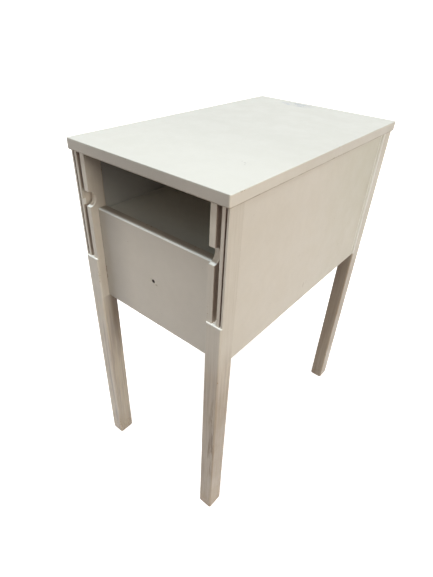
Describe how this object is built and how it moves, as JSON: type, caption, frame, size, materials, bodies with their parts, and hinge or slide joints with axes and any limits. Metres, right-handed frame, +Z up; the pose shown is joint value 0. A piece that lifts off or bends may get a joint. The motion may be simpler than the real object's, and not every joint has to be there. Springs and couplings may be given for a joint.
{
  "type": "bedside cabinet",
  "caption": "Slim painted bedside cabinet on square legs, with an open niche under the top, a drawer below it on roller runners, and cable channels in the front legs.",
  "frame": {"origin": "on the floor, under the middle of the cabinet", "axes": "+Z up, the niche's mouth and the drawer face -Y, +X to the right of a viewer who looks along +Y"},
  "size_m": [0.3, 0.5, 0.66],
  "materials": {
    "white_paint": "satin creamy-white paint on board and solid wood, lightly worn",
    "drawer_foil": "white foil on particle board",
    "beech": "plain fluted beech",
    "zinc": "zinc plated",
    "white_enamel": "white powder coat on sheet steel",
    "nylon": "off-white nylon",
    "bumper": "soft grey rubber"
  },
  "bodies": {
    "cabinet": {"top_panel": "white_paint", "leg_front_left": "white_paint", "leg_front_right": "white_paint", "leg_rear_left": "white_paint", "leg_rear_right": "white_paint", "side_panel_left": "white_paint", "side_panel_right": "white_paint", "back_panel": "white_paint", "niche_shelf": "white_paint", "top_dowel_front_left": "beech", "top_dowel_front_right": "beech", "top_dowel_rear_left": "beech", "top_dowel_rear_right": "beech", "side_dowel_front_low_left": "beech", "side_dowel_front_low_right": "beech", "side_dowel_front_high_left": "beech", "side_dowel_front_high_right": "beech", "side_dowel_rear_low_left": "beech", "side_dowel_rear_low_right": "beech", "side_dowel_rear_high_left": "beech", "side_dowel_rear_high_right": "beech", "back_dowel_low_left": "beech", "back_dowel_low_right": "beech", "back_dowel_high_left": "beech", "back_dowel_high_right": "beech", "shelf_cam_front_left": "zinc", "shelf_cam_front_right": "zinc", "shelf_cam_rear_left": "zinc", "shelf_cam_rear_right": "zinc", "shelf_bolt_front_left": "zinc", "shelf_bolt_front_right": "zinc", "shelf_bolt_rear_left": "zinc", "shelf_bolt_rear_right": "zinc", "cabinet_rail_left": "white_enamel", "cabinet_rail_right": "white_enamel", "cabinet_rail_screw_front_left": "zinc", "cabinet_rail_screw_front_right": "zinc", "cabinet_rail_screw_rear_left": "zinc", "cabinet_rail_screw_rear_right": "zinc"},
    "drawer": {"drawer_front": "white_paint", "drawer_side_left": "drawer_foil", "drawer_side_right": "drawer_foil", "drawer_back": "drawer_foil", "drawer_bottom": "drawer_foil", "drawer_bumper_left": "bumper", "drawer_bumper_right": "bumper", "drawer_front_dowel_left": "beech", "drawer_front_dowel_right": "beech", "drawer_back_dowel_left": "beech", "drawer_back_dowel_right": "beech", "drawer_rail_left": "white_enamel", "drawer_rail_right": "white_enamel", "drawer_rail_screw_front_left": "zinc", "drawer_rail_screw_front_right": "zinc", "drawer_rail_screw_rear_left": "zinc", "drawer_rail_screw_rear_right": "zinc"},
    "front_roller_left": {"front_roller_left": "nylon"},
    "rear_roller_left": {"rear_roller_left": "nylon"},
    "front_roller_right": {"front_roller_right": "nylon"},
    "rear_roller_right": {"rear_roller_right": "nylon"}
  },
  "joints": [
    {"name": "drawer_slide", "type": "slide", "parent": "cabinet", "child": "drawer", "axis": [0, -1, 0], "range_m": [0, 0.3]},
    {"name": "front_roller_left_spin", "type": "hinge", "parent": "cabinet", "child": "front_roller_left", "pos_m": [-0.11865, -0.203, 0.4103], "axis": [1, 0, 0], "range_deg": [0, 2150]},
    {"name": "rear_roller_left_spin", "type": "hinge", "parent": "drawer", "child": "rear_roller_left", "pos_m": [-0.1179, 0.176, 0.4103], "axis": [1, 0, 0], "range_deg": [0, 2150]},
    {"name": "front_roller_right_spin", "type": "hinge", "parent": "cabinet", "child": "front_roller_right", "pos_m": [0.11865, -0.203, 0.4103], "axis": [1, 0, 0], "range_deg": [0, 2150]},
    {"name": "rear_roller_right_spin", "type": "hinge", "parent": "drawer", "child": "rear_roller_right", "pos_m": [0.1179, 0.176, 0.4103], "axis": [1, 0, 0], "range_deg": [0, 2150]}
  ],
  "couplings": [
    {"joint": "front_roller_left_spin", "follows": "drawer_slide", "rad_per_m": 125},
    {"joint": "rear_roller_left_spin", "follows": "drawer_slide", "rad_per_m": 125},
    {"joint": "front_roller_right_spin", "follows": "drawer_slide", "rad_per_m": 125},
    {"joint": "rear_roller_right_spin", "follows": "drawer_slide", "rad_per_m": 125}
  ]
}
